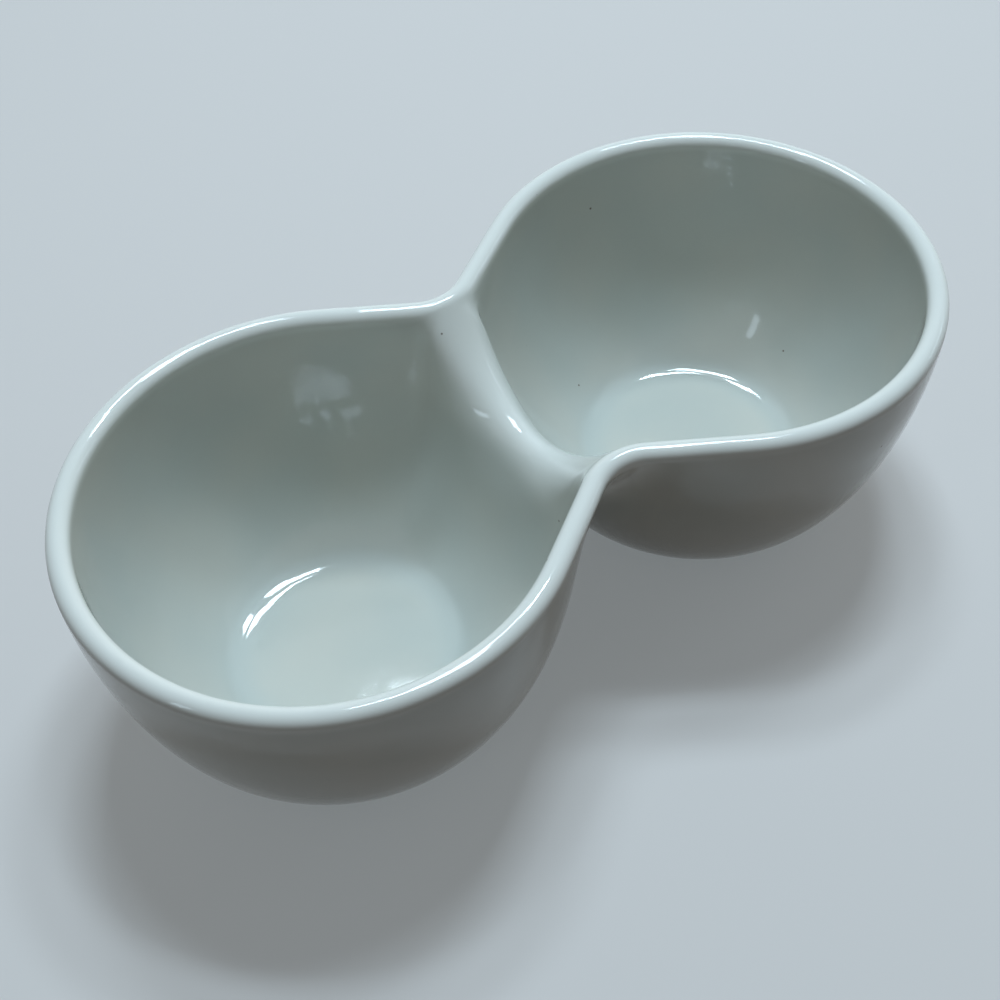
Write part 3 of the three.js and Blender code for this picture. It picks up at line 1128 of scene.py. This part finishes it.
@dataclass(frozen=True)
class Biscuit:
    """Bare fired clay, grainy and pitted, a little rubbed where it stands.

    Attributes:
        tint: Colour of the clay.
        cloud_tint: Colour in the clouds of the mottle.
        pit_tint: Colour of the pits.
        rub_tint: Colour of the rubbed standing face.
        rub_height: Height at which the rubbing has faded out.
        cloud_spacing: Distance between the clouds.
        cloud_contrast: Contrast of the clouds, from 0 to 1.
        pit_spacing: Distance between the cells that may hold a pit.
        pit_share: Share of those cells that do.
        grain_spacing: Distance between the grains.
        grain_contrast: Contrast of the grain, from 0 to 1.
        grain_depth: Depth of the grain.
        dry_roughness: Roughness of the clay.
        rubbed_roughness: Roughness of the rubbed face.
    """

    tint: Colour = (0.74, 0.68, 0.59)
    cloud_tint: Colour = (0.66, 0.58, 0.47)
    pit_tint: Colour = (0.25, 0.19, 0.13)
    rub_tint: Colour = (0.55, 0.50, 0.43)
    rub_height: float = 0.0004
    cloud_spacing: float = 0.004
    cloud_contrast: float = 0.6
    pit_spacing: float = 0.0016
    pit_share: float = 0.35
    grain_spacing: float = 0.0004
    grain_contrast: float = 0.8
    grain_depth: float = 0.00002
    dry_roughness: float = 0.9
    rubbed_roughness: float = 0.68

    def dress(self, piece: Piece) -> None:
        """Gives the finish to a piece."""
        name = "bare_clay"
        coat(piece, bpy.data.materials.get(name) or self.material(name))

    def material(self, name: str) -> bpy.types.Material:
        """Makes the material.

        Args:
            name: Name of the material.

        Returns:
            The new material.
        """
        material, board, shader = new_material(name)
        place = board.add("ShaderNodeTexCoord").outputs["Object"]
        height = board.add("ShaderNodeSeparateXYZ", {"Vector": place}).outputs["Z"]

        clouds = Effect.MOTTLE.place(board, place, self.cloud_spacing, self.cloud_contrast)
        grain = Effect.MOTTLE.place(board, place, self.grain_spacing, self.grain_contrast)
        pits = Effect.SPECKS.place(board, place, self.pit_spacing, self.pit_share)
        rub = board.math("MULTIPLY", board.ramp(height, self.rub_height, 0.0), grain)
        colour = board.blend(clouds, opaque(self.tint), opaque(self.cloud_tint))
        colour = board.blend(rub, colour, opaque(self.rub_tint))
        colour = board.blend(pits, colour, opaque(self.pit_tint))
        board.feed(shader.inputs["Base Color"], colour)

        rubbed = self.rubbed_roughness - self.dry_roughness
        roughness = board.math("MULTIPLY_ADD", rub, rubbed, self.dry_roughness)
        board.feed(shader.inputs["Roughness"], roughness)
        normal = board.relief(board.math("SUBTRACT", grain, pits), self.grain_depth)
        board.feed(shader.inputs["Normal"], normal)
        return material


@dataclass(frozen=True)
class Softbox:
    """Studio lamp with a soft face, which hangs in a direction seen from the bowl.

    Attributes:
        name: Name of the lamp.
        azimuth_degrees: Its direction in plan, from +Y towards +X.
        elevation_degrees: Its angle above the table.
        distance: Distance from the bowl.
        width: Width of its face.
        height: Height of its face.
        power: Power in watts.
        tint: Colour of its light.
    """

    name: str
    azimuth_degrees: float
    elevation_degrees: float
    distance: float
    width: float
    height: float
    power: float
    tint: Colour

    def build(self) -> None:
        """Hangs the lamp, facing the bowl."""
        data = bpy.data.lights.new(self.name, "AREA")
        data.shape = "RECTANGLE"
        data.size = self.width
        data.size_y = self.height
        data.energy = self.power
        data.color = self.tint
        lamp = bpy.data.objects.new(self.name, data)
        bpy.context.scene.collection.objects.link(lamp)
        azimuth = math.radians(self.azimuth_degrees)
        elevation = math.radians(self.elevation_degrees)
        level = math.cos(elevation)
        way = Vector((level * math.sin(azimuth), level * math.cos(azimuth), math.sin(elevation)))
        lamp.location = way * self.distance
        lamp.rotation_euler = way.to_track_quat("Z", "Y").to_euler()


@dataclass(frozen=True)
class PhotoCamera:
    """Camera at the photograph's viewing angle.

    Attributes:
        place: Where it stands.
        yaw_degrees: Turn of the view from +Y towards +X.
        pitch_degrees: How far the view looks down.
        roll_degrees: Turn of the camera about its own view.
        lens_mm: Focal length.
        sensor_mm: Width of the sensor.
        clip_start: Nearest distance that it sees.
    """

    place: tuple[float, float, float] = (-0.11112, -0.14910, 0.24786)
    yaw_degrees: float = 34.905
    pitch_degrees: float = 50.901
    roll_degrees: float = 2.112
    lens_mm: float = 48.886
    sensor_mm: float = 36.0
    clip_start: float = 0.01

    def build(self) -> None:
        """Sets the camera up and makes it the scene's camera."""
        data = bpy.data.cameras.new("photo_camera")
        data.lens = self.lens_mm
        data.sensor_width = self.sensor_mm
        data.clip_start = self.clip_start
        camera = bpy.data.objects.new("photo_camera", data)
        bpy.context.scene.collection.objects.link(camera)
        turn = (
            Matrix.Rotation(-math.radians(self.yaw_degrees), 4, "Z")
            @ Matrix.Rotation(math.radians(90.0 - self.pitch_degrees), 4, "X")
            @ Matrix.Rotation(-math.radians(self.roll_degrees), 4, "Z")
        )
        camera.matrix_world = Matrix.Translation(self.place) @ turn
        bpy.context.scene.camera = camera


@dataclass(frozen=True)
class Studio:
    """Pale floor, soft lamps and a dim room round the bowl.

    Attributes:
        floor_size: Width of the floor.
        floor_tint: Colour of the floor, as the camera and the reflections see it.
        bounce_tint: Colour of the light that it throws back up.
        floor_roughness: Roughness of the floor.
        floor_lift: How far the floor's paleness is lifted under the bowl, where it is seen.
        far_lift: The same far out, where the lamps don't reach.
        lift_tint: Colour of that lift.
        far_from: Distance from the bowl at which the far floor begins.
        far_to: Distance at which it is at its palest.
        room_tint: Colour of the room's light.
        room_strength: Strength of the room's light.
        glow_azimuth: Direction of the bright side of the room in plan, in degrees from +Y towards +X.
        glow_strength: Strength of its light.
        glow_edge: Cosine of the angle from that direction at which the glow has faded out.
        glow_top: Height of a direction at which it has faded out, as a sine.
        glow_full: Height up to which it is at its full strength, as a sine.
        backdrop_tint: Colour of the room where it is seen.
        backdrop_strength: Paleness of the room where it is seen.
        overhead_azimuth: Direction of the overhead lamps in plan, in degrees from +Y towards +X.
        overhead_elevation: Their angle above the table, in degrees.
        overhead_turn: How far they stand to each side of that direction, in degrees.
        overhead_rise: How far they stand above and below that angle, in degrees.
        overhead_distance: Their distance from the bowl.
        overhead_width: Width of each lamp's face.
        overhead_depth: Height of each lamp's face.
        overhead_power: Power of all of them together, in watts.
        overhead_tint: Colour of their light.
        window_tint: Colour of the light of the windows at the sides.
    """

    floor_size: float = 6.0
    floor_tint: Colour = (0.48, 0.46, 0.45)
    bounce_tint: Colour = (0.19, 0.15, 0.125)
    floor_roughness: float = 0.9
    floor_lift: float = 0.26
    far_lift: float = 0.75
    lift_tint: Colour = (0.64, 0.71, 0.74)
    far_from: float = 0.35
    far_to: float = 1.6
    room_tint: Colour = (1.0, 0.96, 0.92)
    room_strength: float = 0.10
    glow_azimuth: float = 54.0
    glow_strength: float = 3.0
    glow_edge: float = 0.5
    glow_top: float = 0.30
    glow_full: float = 0.08
    backdrop_tint: Colour = (0.92, 0.98, 1.0)
    backdrop_strength: float = 0.62
    overhead_azimuth: float = 46.0
    overhead_elevation: float = 69.0
    overhead_turn: float = 15.0
    overhead_rise: float = 5.0
    overhead_distance: float = 1.1
    overhead_width: float = 0.17
    overhead_depth: float = 0.09
    overhead_power: float = 9.4
    overhead_tint: Colour = (0.78, 0.965, 1.10)
    window_tint: Colour = (0.72, 0.9, 1.04)

    def build(self) -> None:
        """Sets up the floor, the lamps, the room's light and the camera."""
        self.floor()
        self.windows()
        self.overhead()
        self.room()
        PhotoCamera().build()
        bpy.context.scene.view_settings.view_transform = "Standard"

    def windows(self) -> None:
        """Stands a low soft lamp at each side of the bowl."""
        Softbox(
            name="right_window",
            azimuth_degrees=102.0,
            elevation_degrees=22.0,
            distance=1.2,
            width=0.36,
            height=0.07,
            power=0.30,
            tint=self.window_tint,
        ).build()
        Softbox(
            name="left_window",
            azimuth_degrees=-95.0,
            elevation_degrees=22.0,
            distance=1.2,
            width=0.10,
            height=0.40,
            power=0.5,
            tint=self.window_tint,
        ).build()

    def overhead(self) -> None:
        """Hangs a cluster of soft lamps over the far side of the bowl."""
        corners = [(turn, rise) for turn in (-1, 1) for rise in (-1, 1)]
        for turn, rise in corners:
            Softbox(
                name="overhead",
                azimuth_degrees=self.overhead_azimuth + turn * self.overhead_turn,
                elevation_degrees=self.overhead_elevation + rise * self.overhead_rise,
                distance=self.overhead_distance,
                width=self.overhead_width,
                height=self.overhead_depth,
                power=self.overhead_power / len(corners),
                tint=self.overhead_tint,
            ).build()

    @staticmethod
    def seen(board: NodeBoard) -> Socket:
        """Mask of the rays that see a surface, straight on or in a reflection.

        Args:
            board: Node tree of the floor or the room.

        Returns:
            The mask, 0 or 1.
        """
        rays = board.add("ShaderNodeLightPath").outputs
        mirrored = board.math("MAXIMUM", rays["Is Glossy Ray"], rays["Is Transmission Ray"])
        return board.math("MAXIMUM", rays["Is Camera Ray"], mirrored)

    def floor(self) -> None:
        """Lays the floor, pale to the camera and to reflections, and with little light thrown back up."""
        bpy.ops.object.select_all(action="DESELECT")
        bpy.ops.mesh.primitive_plane_add(size=self.floor_size)
        floor = bpy.context.object
        floor.name = "floor"
        material, board, shader = new_material("floor")
        seen = self.seen(board)
        colour = board.blend(seen, opaque(self.bounce_tint), opaque(self.floor_tint))
        board.feed(shader.inputs["Base Color"], colour)
        shader.inputs["Roughness"].default_value = self.floor_roughness
        board.feed(shader.inputs["Emission Color"], opaque(self.lift_tint))
        place = board.add("ShaderNodeTexCoord").outputs["Object"]
        distance = board.add("ShaderNodeVectorMath", {"Vector": place}, operation="LENGTH").outputs["Value"]
        far = board.ramp(distance, self.far_from, self.far_to)
        lift = board.math("MULTIPLY_ADD", far, self.far_lift - self.floor_lift, self.floor_lift)
        board.feed(shader.inputs["Emission Strength"], board.math("MULTIPLY", seen, lift))
        coat(floor, material)

    def room(self) -> None:
        """Fills the shadows, and stands as a pale backdrop where it is seen."""
        world = bpy.data.worlds.new("room")
        bpy.context.scene.world = world
        world.use_nodes = True
        background = world.node_tree.nodes["Background"]
        board = NodeBoard(world.node_tree)
        seen = self.seen(board)
        colour = board.blend(seen, opaque(self.room_tint), opaque(self.backdrop_tint))
        board.feed(background.inputs["Color"], colour)
        light = board.math("MULTIPLY_ADD", self.glow(board), self.glow_strength, self.room_strength)
        lift = board.math("SUBTRACT", self.backdrop_strength, light)
        board.feed(background.inputs["Strength"], board.math("MULTIPLY_ADD", seen, lift, light))

    def glow(self, board: NodeBoard) -> Socket:
        """Mask of the bright side of the room, low behind the bowl.

        Args:
            board: Node tree of the room.

        Returns:
            The mask, from 0 to 1.
        """
        way = board.add("ShaderNodeTexCoord").outputs["Generated"]
        along, across, height = board.add("ShaderNodeSeparateXYZ", {"Vector": way}).outputs
        azimuth = math.radians(self.glow_azimuth)
        sideways = board.math("MULTIPLY", along, math.sin(azimuth))
        facing = board.math("MULTIPLY_ADD", across, math.cos(azimuth), sideways)
        low = board.ramp(height, self.glow_top, self.glow_full)
        return board.math("MULTIPLY", board.ramp(facing, self.glow_edge, 1.0), low)


def main() -> None:
    """Builds and dresses the bowl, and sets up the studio."""
    logging.basicConfig(level=logging.INFO)
    lip = Lip(height=CAD_BOX[1].z)
    biscuit = Biscuit()
    bowl = GlazedBody(lip)
    body = bowl.build()
    Glaze(lip.cup_reach, lip.level, lip.level - bowl.saddle_dip).dress(body)
    pieces = [body]
    for cup in Cup:
        ring = FootRing(cup, lip.cup_reach).build()
        biscuit.dress(ring)
        pieces.append(ring)
    for piece in pieces:
        LOG.info("%s: %d faces", piece.name, len(piece.data.polygons))
    Studio().build()


if __name__ == "__main__":
    main()
